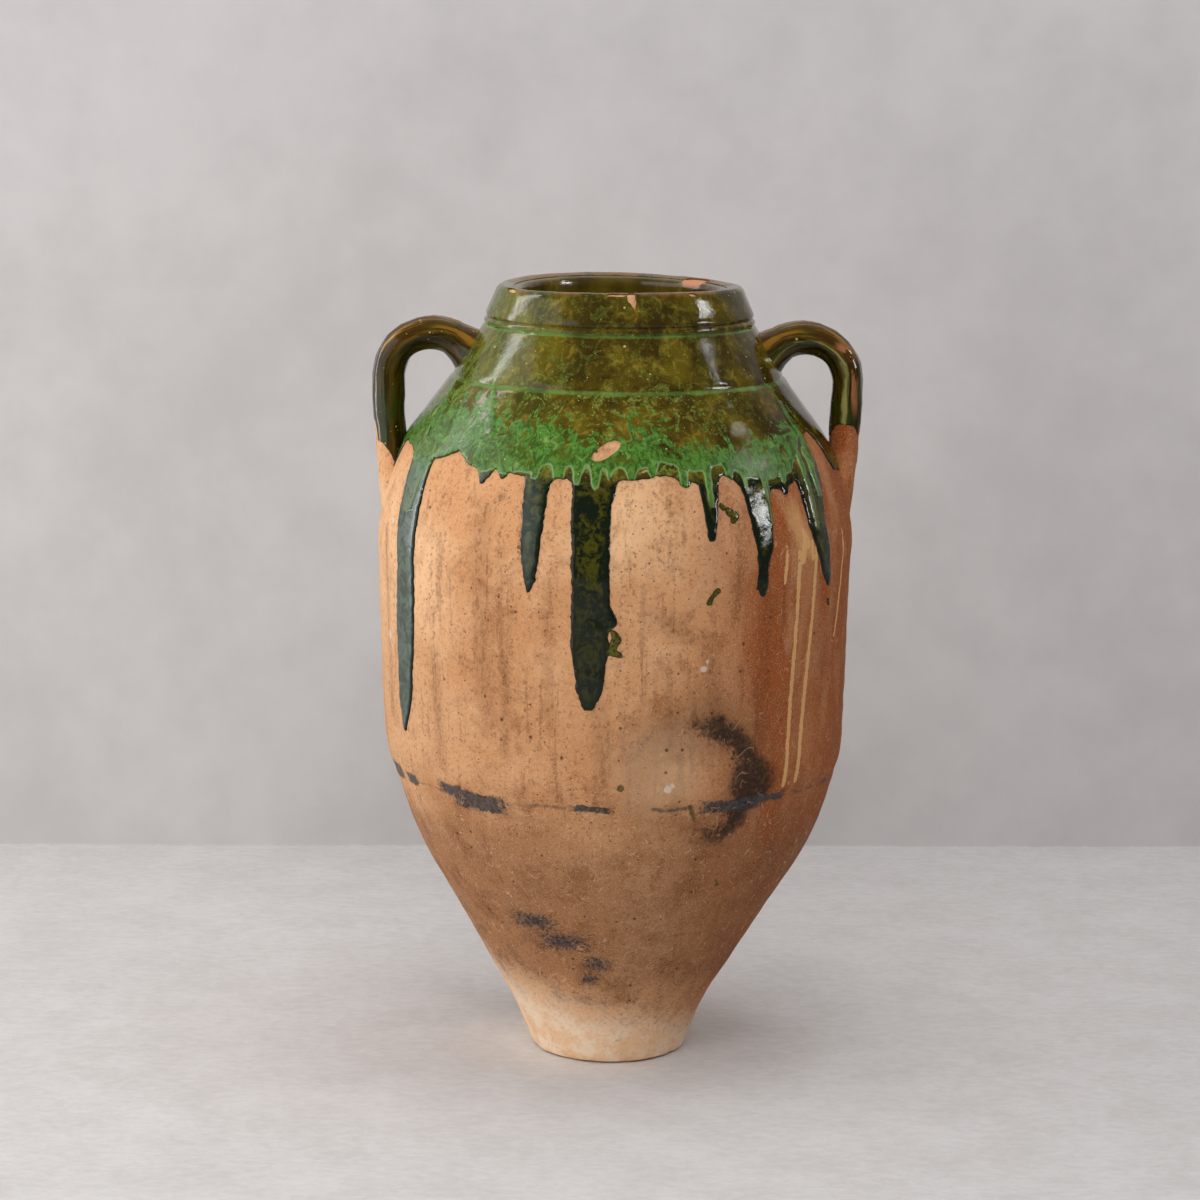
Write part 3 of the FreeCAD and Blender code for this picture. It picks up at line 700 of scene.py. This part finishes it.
class Finish:
    """A material with one Principled shader, built from sums of patterns."""

    def __init__(self, name):
        self.material = bpy.data.materials.new(name)
        self.material.use_nodes = True
        self.tree = self.material.node_tree
        self.shader = self.tree.nodes["Principled BSDF"]
        coordinates = self.node("TexCoord", {}, {}, output="Object")
        self.spot = self.vector("SCALE", {0: coordinates, "Scale": 1 / MM})
        self.colour = None
        self.x, self.y, self.z = (
            self.node("SeparateXYZ", {}, {0: self.spot}, output=axis) for axis in "XYZ")

    def node(self, kind, settings, sockets, output=0):
        """Adds a node, sets it up, fills or links its sockets, and returns one of its outputs."""
        made = self.tree.nodes.new(f"ShaderNode{kind}")
        for name, setting in settings.items():
            setattr(made, name, setting)
        for key, given in sockets.items():
            if isinstance(given, Sum):
                self.tree.links.new(given.socket, made.inputs[key])
            else:
                made.inputs[key].default_value = given
        return Sum(self, made.outputs[output])

    def vector(self, operation, sockets, output=0):
        """A node of vector arithmetic."""
        return self.node("VectorMath", {"operation": operation}, sockets, output)

    def noise(
            self, wavelength, detail=3, rough=0.55, stretch=(1, 1, 1), shift=0, distortion=0.0,
            place=None):
        """Soft noise of 0 to 1 with a wavelength in mm, which can be stretched along an axis."""
        place = self.vector(
            "MULTIPLY_ADD",
            {0: place or self.spot, 1: tuple(1 / s for s in stretch), 2: (shift, shift, shift)})
        return self.node(
            "TexNoise", {},
            {
                "Vector": place, "Scale": 1 / wavelength, "Detail": detail, "Roughness": rough,
                "Distortion": distortion})

    def mix(self, share, first, second):
        """One colour laid over another by a share. Either is a sum or three picture values."""
        first, second = (tone if isinstance(tone, Sum) else srgb(*tone) for tone in (first, second))
        return self.node("Mix", {"data_type": "RGBA"}, {0: share, 6: first, 7: second}, output=2)

    def lay(self, share, colour):
        """Lays a colour over the finish's colour so far."""
        self.colour = self.mix(share, self.colour, colour)

    def bump(self, strength, distance, height):
        """Relief from a sum of patterns."""
        sockets = {"Strength": strength, "Distance": distance, "Height": height}
        return self.node("Bump", {}, sockets, output="Normal")

    def near(self, turn, radius, height):
        """Distance in mm to a place on the jar."""
        return self.vector("DISTANCE", {0: self.spot, 1: on_jar(turn, radius, height)}, "Value")

    def beside(self, first, last):
        """Distance in mm to the line between two places of (degrees, radius, height)."""
        start = Vector(on_jar(*first))
        run = Vector(on_jar(*last)) - start
        offset = self.vector("SUBTRACT", {0: self.spot, 1: start})
        along = self.vector("DOT_PRODUCT", {0: offset, 1: run / run.length_squared}, "Value")
        share = self.node("Clamp", {}, {"Value": along})
        reached = self.vector("SCALE", {0: run, "Scale": share})
        return self.vector("DISTANCE", {0: offset, 1: reached}, "Value")

    def dots(self, spacing, size, shift=0):
        """Round dots of up to a size in mm, one in each random cell, 1 inside and 0 outside."""
        place = self.vector("ADD", {0: self.spot, 1: (shift, shift, shift)})
        cells, chosen = (
            self.node(
                "TexVoronoi", {"feature": "F1"}, {"Vector": place, "Scale": 1 / spacing}, output)
            for output in ("Distance", "Color"))
        luck = self.node("SeparateXYZ", {}, {0: chosen}, output="X")
        return (cells * spacing / size - luck).rise(0.2, -0.1)

    def hairs(self, wavelength, width, shift=0):
        """Thin curved lines, where a noise crosses its middle value, broken by another noise."""
        field = abs(self.noise(wavelength, 1, 0.4, shift=shift, distortion=0.7) - 0.5)
        return (
            field.rise(width, width * 0.4)
            * self.noise(wavelength * 0.6, 1, shift=shift + 90).rise(0.52, 0.6))

    def attribute(self, name):
        """A number that the mesh carries on its points."""
        return self.node("Attribute", {"attribute_name": name}, {}, output="Fac")

    def set(self, **sockets):
        """Sets or links the shader's own sockets, with _ for a space."""
        for name, given in sockets.items():
            target = self.shader.inputs[name.replace("_", " ")]
            if isinstance(given, Sum):
                self.tree.links.new(given.socket, target)
            else:
                target.default_value = given


# %% [markdown]
# The bare clay is tan, and darker where smoke, damp and hands have stained it. Streaks run down it,
# the cone is painted darker brown as shade where it faces down, and the right side, away from the
# light, is painted darker as shade. The foot is pale and sandy. Small dark pits and light hairline
# scratches cover it. A ring of soot and a dark seam show on the belly.

# %% Clay
clay = Finish("stained_clay")
broad = clay.noise(110, 4, 0.6)
patchy = clay.noise(24, 5, 0.65, shift=40)
streaky = clay.noise(6, 4, 0.62, stretch=(1, 1, 22), shift=11)
speckle = clay.noise(3.2, 4, 0.7, shift=3)
grain = clay.noise(1.1, 2, 0.7)
wander = (patchy - 0.5) * 34 + (speckle - 0.5) * 12

clay.colour = clay.mix(
    (broad + (patchy - 0.5) * 0.4).rise(0.34, 0.66), (212, 153, 105), (239, 190, 144))
clay.lay((clay.z + (broad - 0.5) * 120).rise(470, 300) * 0.5, (186, 130, 86))
# Painted shade: the right side, away from the left light, is laid a darker brown.
shade = (clay.x + (broad - 0.5) * 100).rise(40, 128)
clay.lay(
    shade * (0.62 + 0.34 * clay.noise(36, 4, 0.6, stretch=(1, 1, 2.5), shift=130).rise(0.36, 0.56)),
    (154, 74, 20))
smudge = patchy.rise(0.48, 0.7) * (0.3 + 0.5 * broad.rise(0.6, 0.35))
clay.lay(smudge, (152, 94, 54))
wide_streak = clay.noise(15, 4, 0.6, stretch=(1, 1, 9), shift=57)
run_down = (
    (streaky + (speckle - 0.5) * 0.3).rise(0.52, 0.7) * clay.noise(52, 2, shift=5).rise(0.42, 0.62))
run_down = run_down | (wide_streak + (speckle - 0.5) * 0.5).rise(0.54, 0.74)
clay.lay(run_down * 0.46, (112, 64, 36))
# Painted shade: the cone, which faces down, is laid a darker brown.
lower = (
    (clay.z + (broad - 0.5) * 140 + wander).rise(262, 190) * (clay.z + wander * 1.3).rise(42, 92))
clay.lay(lower * (0.5 + 0.22 * patchy.rise(0.36, 0.68)), (122, 76, 44))
foot = (clay.z + wander * 1.2 + clay.x * 0.3).rise(74, 20)
clay.lay(foot * 0.95, clay.mix(patchy.rise(0.4, 0.6), (246, 204, 162), (254, 230, 202)))
clay.lay(grain.rise(0.5, 0.7) * 0.34, (244, 208, 168))
clay.lay(speckle.rise(0.52, 0.7) * (0.5 - foot * 0.35), (124, 74, 40))

# %% Brown stains that ran down the belly
stains = reduce(
    or_, (
        (clay.beside(first, last) / width + (patchy - 0.5) * 1.6).rise(1.1, 0.0)
        for first, last, width in (
            ((-33, 197, 478), (-31, 194, 310), 15), ((-27, 196, 450), (-26, 193, 290), 8),
            ((-47, 196, 360), (-46, 192, 270), 10), ((-15.5, 196, 430), (-15, 193, 310), 7),
            ((9, 197, 404), (17, 196, 388), 13), ((22, 196, 384), (27, 194, 300), 12),
            ((-3, 193, 330), (-2, 192, 280), 12), ((39, 197, 410), (38, 194, 300), 14),
            ((-72, 197, 450), (-70, 194, 300), 9), ((118, 197, 470), (120, 194, 300), 15),
            ((205, 197, 440), (204, 193, 280), 14))))
specks = (
    clay.noise(3.6, 3, 0.6, stretch=(1, 1, 1.7), shift=71) + (streaky - 0.5) * 0.6).rise(0.5, 0.64)
clay.lay(stains * (0.24 + 0.3 * specks), (98, 56, 30))

# %% Slip that ran from the glaze line, and streaks on the handle legs
slip = reduce(
    or_, (
        (clay.beside(first, last) + (speckle - 0.5) * 3.4).rise(width + 0.4, width - 0.4)
        for first, last, width in (
            ((46.4, 197, 492), (44.2, 197, 424), 2.2), ((48.4, 197, 492), (52.5, 197, 452), 4.2),
            ((52.5, 197, 470), (50.5, 197, 440), 3.6), ((49.4, 196, 446), (47, 191, 255), 2.4),
            ((54.5, 197, 462), (54.6, 197, 440), 2.6), ((56.2, 196, 447), (51.7, 191, 257), 2.5),
            ((70.6, 197, 500), (73, 197, 443), 2.4), ((73.4, 197, 443), (67.5, 196, 370), 1.9),
            ((44.5, 197, 500), (53, 197, 490), 3.6))))
wash = (clay.beside((46, 198, 498), (52, 198, 452)) + (streaky - 0.5) * 16).rise(15, 5) * 0.5
clay.lay(slip * 0.8 | wash, (230, 180, 120))

# %% Soot, seam and stains
grit = (speckle - 0.5) * 1.5 + (grain - 0.5) * 0.5
ring_gap = abs(clay.near(18, 191, 262) - 57 + wander * 0.9)
ring = ring_gap.rise(26, 2) * (clay.near(31, 190, 270) + wander).rise(92, 42)
ring = ring | ring_gap.rise(16, 2) * 0.5 * (clay.near(8, 190, 318) + wander).rise(60, 30)
ring = ring | (clay.near(36, 189, 262) + wander).rise(42, 10)
ring = (ring + grit * 0.8).rise(0.36, 1.08)
smoke = ring_gap.rise(44, 8) * (clay.near(27, 190, 285) + wander).rise(100, 40)
heart = (clay.near(11, 192, 280) + wander).rise(58, 14) * grit.rise(-0.5, 0.3)
clay.lay(heart * 0.62, (206, 172, 138))
clay.lay(smoke * 0.4, (92, 60, 36))
clay.lay(ring * 0.92, (36, 30, 25))
seam_gap = abs(clay.z - SEAM_HEIGHT + (patchy - 0.5) * 12)
soot = (seam_gap + grit * 2).rise(2.2, 0.4) * clay.noise(26, 3, shift=90).rise(0.44, 0.6) * 0.8
for turn, radius, height, wide, tall in (
        (-35, 187, 243, 31, 9), (-44, 187, 249, 16, 6), (-5, 188, 246, 20, 3.5),
        (31, 186, 245, 34, 6), (43, 187, 247, 22, 4), (-74, 186, 248, 22, 8),
        (-62, 187, 247, 12, 6), (150, 187, 245, 44, 7), (-27, 137, 137, 27, 11),
        (-5, 112, 100, 17, 9), (-17, 124, 120, 30, 12), (-9, 105, 84, 12, 9),
        (118, 150, 160, 26, 14)):
    blot = (
        clay.near(turn, radius, height) / wide | abs(clay.z - height + (patchy - 0.5) * 10) / tall)
    soot = (
        soot
        | (blot + grit * (0.75 if radius > 180 else 1.5)).rise(1.0, 0.62 if radius > 180 else 0.2))
star = (
    clay.near(-29, 196, 495).rise(15, 5)
    * (clay.hairs(8, 0.09, shift=800) | (clay.near(-29, 196, 495) + wander * 0.4).rise(9, 3) * 0.8))
clay.lay((soot | star) * 0.9, clay.mix(speckle.rise(0.4, 0.6), (38, 36, 36), (74, 76, 80)))
crack = (
    clay.beside((19.4, 188, 247), (33, 158, 173)) + (patchy - 0.5) * 5 + grit * 2).rise(2.6, 1.2)
clay.lay(crack * 0.75, (66, 62, 36))
chip_spots = reduce(
    or_, (
        (clay.near(turn, radius, height) + grit * 3.5).rise(size * 0.8, size * 0.8 - 1.4)
        for turn, radius, height, size in (
            (13.4, 192, 263, 5), (14.4, 192, 266, 4), (-70, 197, 364, 6), (-69, 197, 356, 4),
            (-68, 198, 460, 5), (21.4, 197, 360, 4.5), (22.2, 197, 366, 3), (-10.5, 200, 491, 2.5),
            (5, 192, 275, 3))))
clay.lay(chip_spots * 0.8, (222, 202, 184))
drop = (clay.near(2, 191, 265) + grit * 2).rise(4.4, 3.4)
clay.lay(drop * 0.85, (70, 66, 20))

# %% Pits, scratches and relief of the clay
pits = (
    (clay.dots(5.4, 0.7) | clay.dots(12, 1.4, shift=40)) * (1.0 - foot * 0.8)
    * patchy.rise(0.34, 0.5))
clay.lay(pits * 0.75, (70, 40, 24))
scratches = (
    clay.hairs(24, 0.012, shift=500) * 0.6
    | clay.hairs(13, 0.018, shift=620) * (clay.z + wander).rise(300, 220))
clay.lay(scratches * 0.42, (230, 184, 138))
height = grain * 0.5 + speckle * 0.9 + streaky * 0.3 + patchy * 0.5
height = height - pits * 1.6 - scratches * 0.5 + slip * 0.5 - chip_spots * 0.5
bump = clay.bump(0.75, 0.0009, height)
clay.set(
    Base_Color=clay.colour, Roughness=0.86 - ring * 0.1 - soot * 0.3, Normal=bump,
    Specular_IOR_Level=0.15)
print("clay:", len(clay.tree.nodes), "nodes")

# %% [markdown]
# The glaze is thick, glossy and full of variety: amber and olive where it is thin over the clay, a
# mottled green where the overglaze melted in, almost black where it gathered in runs, and pricked
# with pinholes that show pale clay. The colour follows the fields that the mesh carries.

# %% Green glaze
glaze = Finish("running_green_glaze")
edge, band, drip, streak = (
    glaze.attribute(name) for name in ("glaze_edge", "band", "drip", "streak"))
edge = edge * -1.0
cloud = glaze.noise(38, 4, 0.6)
mottle = glaze.noise(9, 5, 0.66, shift=21, distortion=0.8)
feather = glaze.noise(5, 4, 0.62, stretch=(1, 1, 3.2), shift=13, distortion=1.6)
fleck = glaze.noise(2.2, 3, 0.7, shift=77)
marble = glaze.noise(15, 6, 0.68, shift=7, distortion=1.8)

glaze.colour = glaze.mix(cloud.rise(0.36, 0.66), (56, 43, 6), (96, 81, 14))
glaze.lay(mottle.rise(0.48, 0.66) * cloud.rise(0.36, 0.58) * 0.75, (140, 122, 40))
glaze.lay(feather.rise(0.52, 0.68) * cloud.rise(0.62, 0.4) * 0.65, (36, 29, 5))
on_handle = glaze.attribute("on_handle")
# The left side is greener and paler: partly greener glaze, partly a painted sheen of the left
# light.
left = (glaze.x + (cloud - 0.5) * 90).rise(-20, -110)
glaze.lay(left * (0.2 + 0.45 * marble.rise(0.44, 0.58)), (98, 114, 46))
dust = (
    (marble + (fleck - 0.5) * 0.2 + (feather - 0.5) * 0.3).rise(0.5, 0.6)
    * (0.3 + 0.7 * (glaze.z + (cloud - 0.5) * 60).rise(588, 560)))
dust = dust * (glaze.x + (cloud - 0.5) * 130).rise(130, 30)
glaze.lay(dust * 0.8, glaze.mix(fleck.rise(0.4, 0.62), (78, 104, 34), (142, 146, 66)))
depth = (glaze.z + (mottle - 0.5) * 14).rise(520, 502)
thin = (mottle + (cloud - 0.5) * 0.5 + (feather - 0.5) * 0.4).rise(0.42, 0.62) * edge.rise(2, 6)
pool = glaze.mix(thin * (0.45 + 0.55 * glaze.z.rise(400, 450)), (17, 26, 12), (72, 68, 12))
glaze.lay(depth, pool)
ragged = band + (marble - 0.5) * 110 + (feather - 0.5) * 24 + (fleck - 0.5) * 8
body = ragged.rise(-0.6, 1.6) * drip.rise(-0.3, 0.4)
body = body | (streak + (fleck - 0.5) * 3).rise(-0.3, 0.8) * 0.85
light = glaze.mix(feather.rise(0.36, 0.62), (48, 80, 20), (84, 132, 48))
light = glaze.mix(mottle.rise(0.56, 0.7) * 0.7, light, (128, 164, 84))
light = glaze.mix(glaze.z.rise(503, 488), light, (84, 98, 30))
body = body * (0.35 + 0.65 * (marble + (mottle - 0.5) * 0.3).rise(0.4, 0.52) | drip.rise(7, 3))
glaze.lay(body, light)
# Painted sheen: the runs on the left are laid a pale grey green, where they would mirror the left
# light.
left_runs_painted_sheen = (
    (glaze.x + (feather - 0.5) * 60).rise(-40, -105) * depth * edge.rise(0.5, 4)
    * (0.5 + 0.5 * mottle.rise(0.4, 0.6)))
glaze.lay(left_runs_painted_sheen * 0.75, (88, 106, 94))
# Painted highlight: a pale line round the rounded ends of the green drips.
drip_rim_painted_highlight = abs(drip).rise(1.1, 0.2) * band.rise(2, 10)
glaze.lay(drip_rim_painted_highlight * 0.4 * glaze.z.rise(490, 500), (158, 190, 124))
jitter = (fleck - 0.5) * 2.4 + (mottle - 0.5) * 4
lines = (
    (abs(glaze.z - 573.8) + jitter).rise(2.0, 0.9) | (abs(glaze.z - 617) + jitter).rise(2.0, 0.9))
glaze.lay(lines * (0.35 + 0.5 * cloud.rise(0.42, 0.58)), (98, 136, 62))
glaze.lay(
    glaze.attribute("splash") * 0.85, glaze.mix(fleck.rise(0.4, 0.6), (60, 58, 12), (104, 94, 24)))

# %% The glaze on the handles, in streaks along the pull
outer, front, along = (glaze.attribute(name) for name in ("outer", "front", "along"))
place = glaze.node("CombineXYZ", {}, {0: outer * 12, 1: front * 17, 2: along * 6})
pulled = glaze.noise(5, 4, 0.62, stretch=(1, 1, 12), place=place)
lump = glaze.noise(12, 4, 0.6, stretch=(1, 1, 3), shift=50, place=place)
bar = glaze.mix(pulled.rise(0.42, 0.64), (28, 20, 3), (74, 58, 9))
bar = glaze.mix(lump.rise(0.5, 0.64) * 0.6, bar, (48, 62, 14))
# The top of the handle's bend is laid a lighter amber: partly thin glaze that drained off it,
# partly a painted highlight.
crown_painted_highlight = (outer + front * 0.5).rise(0.3, 1.1) * glaze.z.rise(584, 602)
bar = glaze.mix(crown_painted_highlight * (0.15 + 0.6 * pulled.rise(0.48, 0.6)), bar, (158, 110, 36))
# A pale streak down the right handle's front: partly lighter glaze, partly a painted highlight.
right_front = front.rise(0.2, 0.7) * glaze.x.rise(-10, 10)
bar = glaze.mix(
    right_front * abs(outer + 0.15 + (lump - 0.5)).rise(0.24, 0.05) * 0.6, bar,
    glaze.mix(pulled.rise(0.46, 0.62), (62, 70, 12), (178, 172, 100)))
scuff = (
    right_front * abs(outer - 0.42 + (pulled - 0.5) * 0.9).rise(0.24, 0.1) * along.rise(14, 16)
    * along.rise(25, 22) * lump.rise(0.46, 0.54))
bar = glaze.mix(scuff * 0.8, bar, (176, 112, 76))
glaze.lay(on_handle, bar)

# %% Dark edges, wear and pinholes of the glaze
crazed = (glaze.beside((7.6, 101, 648), (8.4, 110, 626)) + (fleck - 0.5) * 2.4).rise(1.1, 0.5)
glaze.lay(crazed * 0.8, (40, 22, 8))
glaze.lay(edge.rise(1.4, 0.2) * 0.65, (14, 20, 8))
worn = (glaze.z + (fleck - 0.5) * 5 + (cloud - 0.5) * 7).rise(646.5, 649.5) * cloud.rise(0.42, 0.56)
glaze.lay(worn * 0.6, (136, 84, 44))
pinholes = glaze.dots(6, 0.55) | glaze.dots(13, 1.1, shift=60)
pinholes = pinholes * glaze.z.rise(500, 520)
glaze.lay(pinholes * 0.85, (198, 178, 104))
relief = cloud * 0.8 + mottle * 0.5 + fleck * 0.12 - pinholes * 0.8
bump = glaze.bump(0.42, 0.0008, relief)
glaze.set(
    Base_Color=glaze.colour,
    Roughness=0.06 + 0.14 * fleck.rise(0.5, 0.8) + pinholes * 0.3 + left_runs_painted_sheen * 0.12 + body * 0.3,
    Normal=bump, Specular_IOR_Level=0.26)
print("glaze:", len(glaze.tree.nodes), "nodes")

# %% Lining glaze
inner = Finish("lining_glaze")
cloud, mottle = inner.noise(40, 4, 0.6), inner.noise(8, 4, 0.65, stretch=(1, 1, 3), shift=31)
inner.colour = inner.mix(cloud.rise(0.3, 0.7), (58, 44, 8), (100, 84, 22))
inner.lay(mottle.rise(0.52, 0.7) * 0.6, (128, 106, 40))
knocked = (inner.near(133, 89, 647) + (mottle - 0.5) * 12).rise(15, 11) * inner.z.rise(641, 644)
inner.lay(knocked, (206, 140, 104))
bump = inner.bump(0.3, 0.0006, cloud + mottle * 0.6)
inner.set(Base_Color=inner.colour, Roughness=0.1 + 0.1 * mottle + knocked * 0.6, Normal=bump)

# %% Give each piece its finish
for node, piece in PIECES.items():
    finish = inner if node == "inner_glaze" else glaze if node.endswith("glaze") else clay
    piece.data.materials.append(finish.material)
print({node: piece.data.materials[0].name for node, piece in PIECES.items()})

# %% [markdown]
# The studio has a pale floor and a plain wall close behind the jar. Both are stage, not part of the
# object, and a camera that looks from behind sees through the wall. A wide softbox on the left
# gives the main light, a high lamp in front and one overhead soften it, and a grey world fills the
# shadows. Narrow panes that light nothing are only mirrored, which gives the glaze its glints.

# %% Floor and wall
stage = bmesh.new()
WALL_BEHIND, WALL_TURN = 0.728, 0.057
path = [
    stage.verts.new(place)
    for place in (
        (-4, -5, 0), (-4, WALL_BEHIND - 4 * WALL_TURN, 0), (-4, WALL_BEHIND - 4 * WALL_TURN, 3.5))]
for pair in zip(path, path[1:]):
    stage.edges.new(pair)
grown = bmesh.ops.extrude_edge_only(stage, edges=stage.edges[:])["geom"]
bmesh.ops.translate(stage, verts=only(bmesh.types.BMVert, grown), vec=(8, 8 * WALL_TURN, 0))
stage.normal_update()
bmesh.ops.reverse_faces(
    stage, faces=[face for face in stage.faces if face.normal.z - face.normal.y < 0])
mesh = bpy.data.meshes.new("studio_sweep")
stage.to_mesh(mesh)
stage.free()
studio = bpy.data.objects.new("studio_sweep", mesh)
bpy.context.scene.collection.objects.link(studio)

plaster = Finish("studio_plaster")
wash, cloud = plaster.noise(330, 4, 0.6), plaster.noise(70, 5, 0.6)
speck = plaster.noise(9, 6, 0.74, stretch=(1.5, 1, 1))
on_floor = plaster.z.rise(2, 1)
wall = plaster.mix((wash * 0.6 + cloud * 0.4).rise(0.34, 0.66), (198, 194, 193), (210, 206, 205))
floor = plaster.mix((speck * 0.6 + cloud * 0.4).rise(0.36, 0.64), (204, 200, 198), (218, 215, 214))
behind = (
    plaster.node("NewGeometry", {}, {}, output="Backfacing")
    * plaster.node("LightPath", {}, {}, output="Is Camera Ray"))
plaster.set(Base_Color=plaster.mix(on_floor, wall, floor), Roughness=0.9, Alpha=1.0 - behind)
studio.data.materials.append(plaster.material)


# %% Lights
def lamp(name, place, target, width, height, watts, mirrored=True, lights=True):
    """An area lamp that faces a target. It can light without a glint, or only be mirrored."""
    data = bpy.data.lights.new(name, "AREA")
    data.shape, data.size, data.size_y, data.energy = "RECTANGLE", width, height, watts
    made = bpy.data.objects.new(name, data)
    made.location = place
    made.rotation_euler = (Vector(target) - Vector(place)).to_track_quat("-Z", "Y").to_euler()
    made.visible_glossy, made.visible_diffuse = mirrored, lights
    bpy.context.scene.collection.objects.link(made)


lamp("left_panel", (-1.5, -0.75, 0.95), (0, -0.75, 0.95), 2.95, 1.9, 28)
lamp("front_fill", (-0.3, -2.5, 2.1), (0, 0, 0.3), 2.2, 1.2, 34, mirrored=False)
lamp("overhead", (0.2, -0.2, 3.0), (0.1, 0, 0), 1.8, 1.5, 22, mirrored=False)
lamp("right_lamp", (1.7, -0.3, 1.4), (0, 0, 0.5), 0.4, 0.6, 4, mirrored=False)
lamp("left_window", (-1.45, 0.34, 1.05), (0, 0, 0.6), 0.24, 1.9, 11, lights=False)
lamp("right_pane_high", (1.7, -0.18, 1.57), (0, 0, 0.6), 0.12, 0.26, 4, lights=False)
lamp("right_pane_top", (1.7, -0.03, 1.92), (0, 0, 0.6), 0.06, 0.06, 0.5, lights=False)
lamp("right_pane_near", (1.7, -0.6, 0.9), (0, 0, 0.5), 0.12, 0.34, 5, lights=False)
lamp("right_pane_far", (1.7, -0.36, 0.9), (0, 0, 0.5), 0.12, 0.34, 5, lights=False)
world = bpy.data.worlds.new("studio_air")
bpy.context.scene.world = world
world.use_nodes = True
world.node_tree.nodes["Background"].inputs["Color"].default_value = (0.95, 0.97, 1.0, 1)
world.node_tree.nodes["Background"].inputs["Strength"].default_value = 0.16

# %% [markdown]
# The photograph was taken with a long lens from a little above the mouth, so the camera is three
# metres back and looks down ten degrees. The jar leans slightly to the right in the picture, and
# that is taken as the camera's roll, so the jar itself stands upright.

# %% Camera
lens = bpy.data.cameras.new("photo_camera")
lens.lens, lens.sensor_width = 116.7, 36
LOOK_DOWN, LOOK_LEFT, ROLL = (math.radians(degrees) for degrees in (9.67, 0.22, 0.79))
camera = bpy.data.objects.new("photo_camera", lens)
camera.rotation_mode = "QUATERNION"
camera.location = (0, -3.219, 0.932)
aim = Quaternion((0, 0, 1), LOOK_LEFT) @ Quaternion((1, 0, 0), math.pi / 2 - LOOK_DOWN)
camera.rotation_quaternion = aim @ Quaternion((0, 0, 1), ROLL)
bpy.context.scene.collection.objects.link(camera)
bpy.context.scene.camera = camera
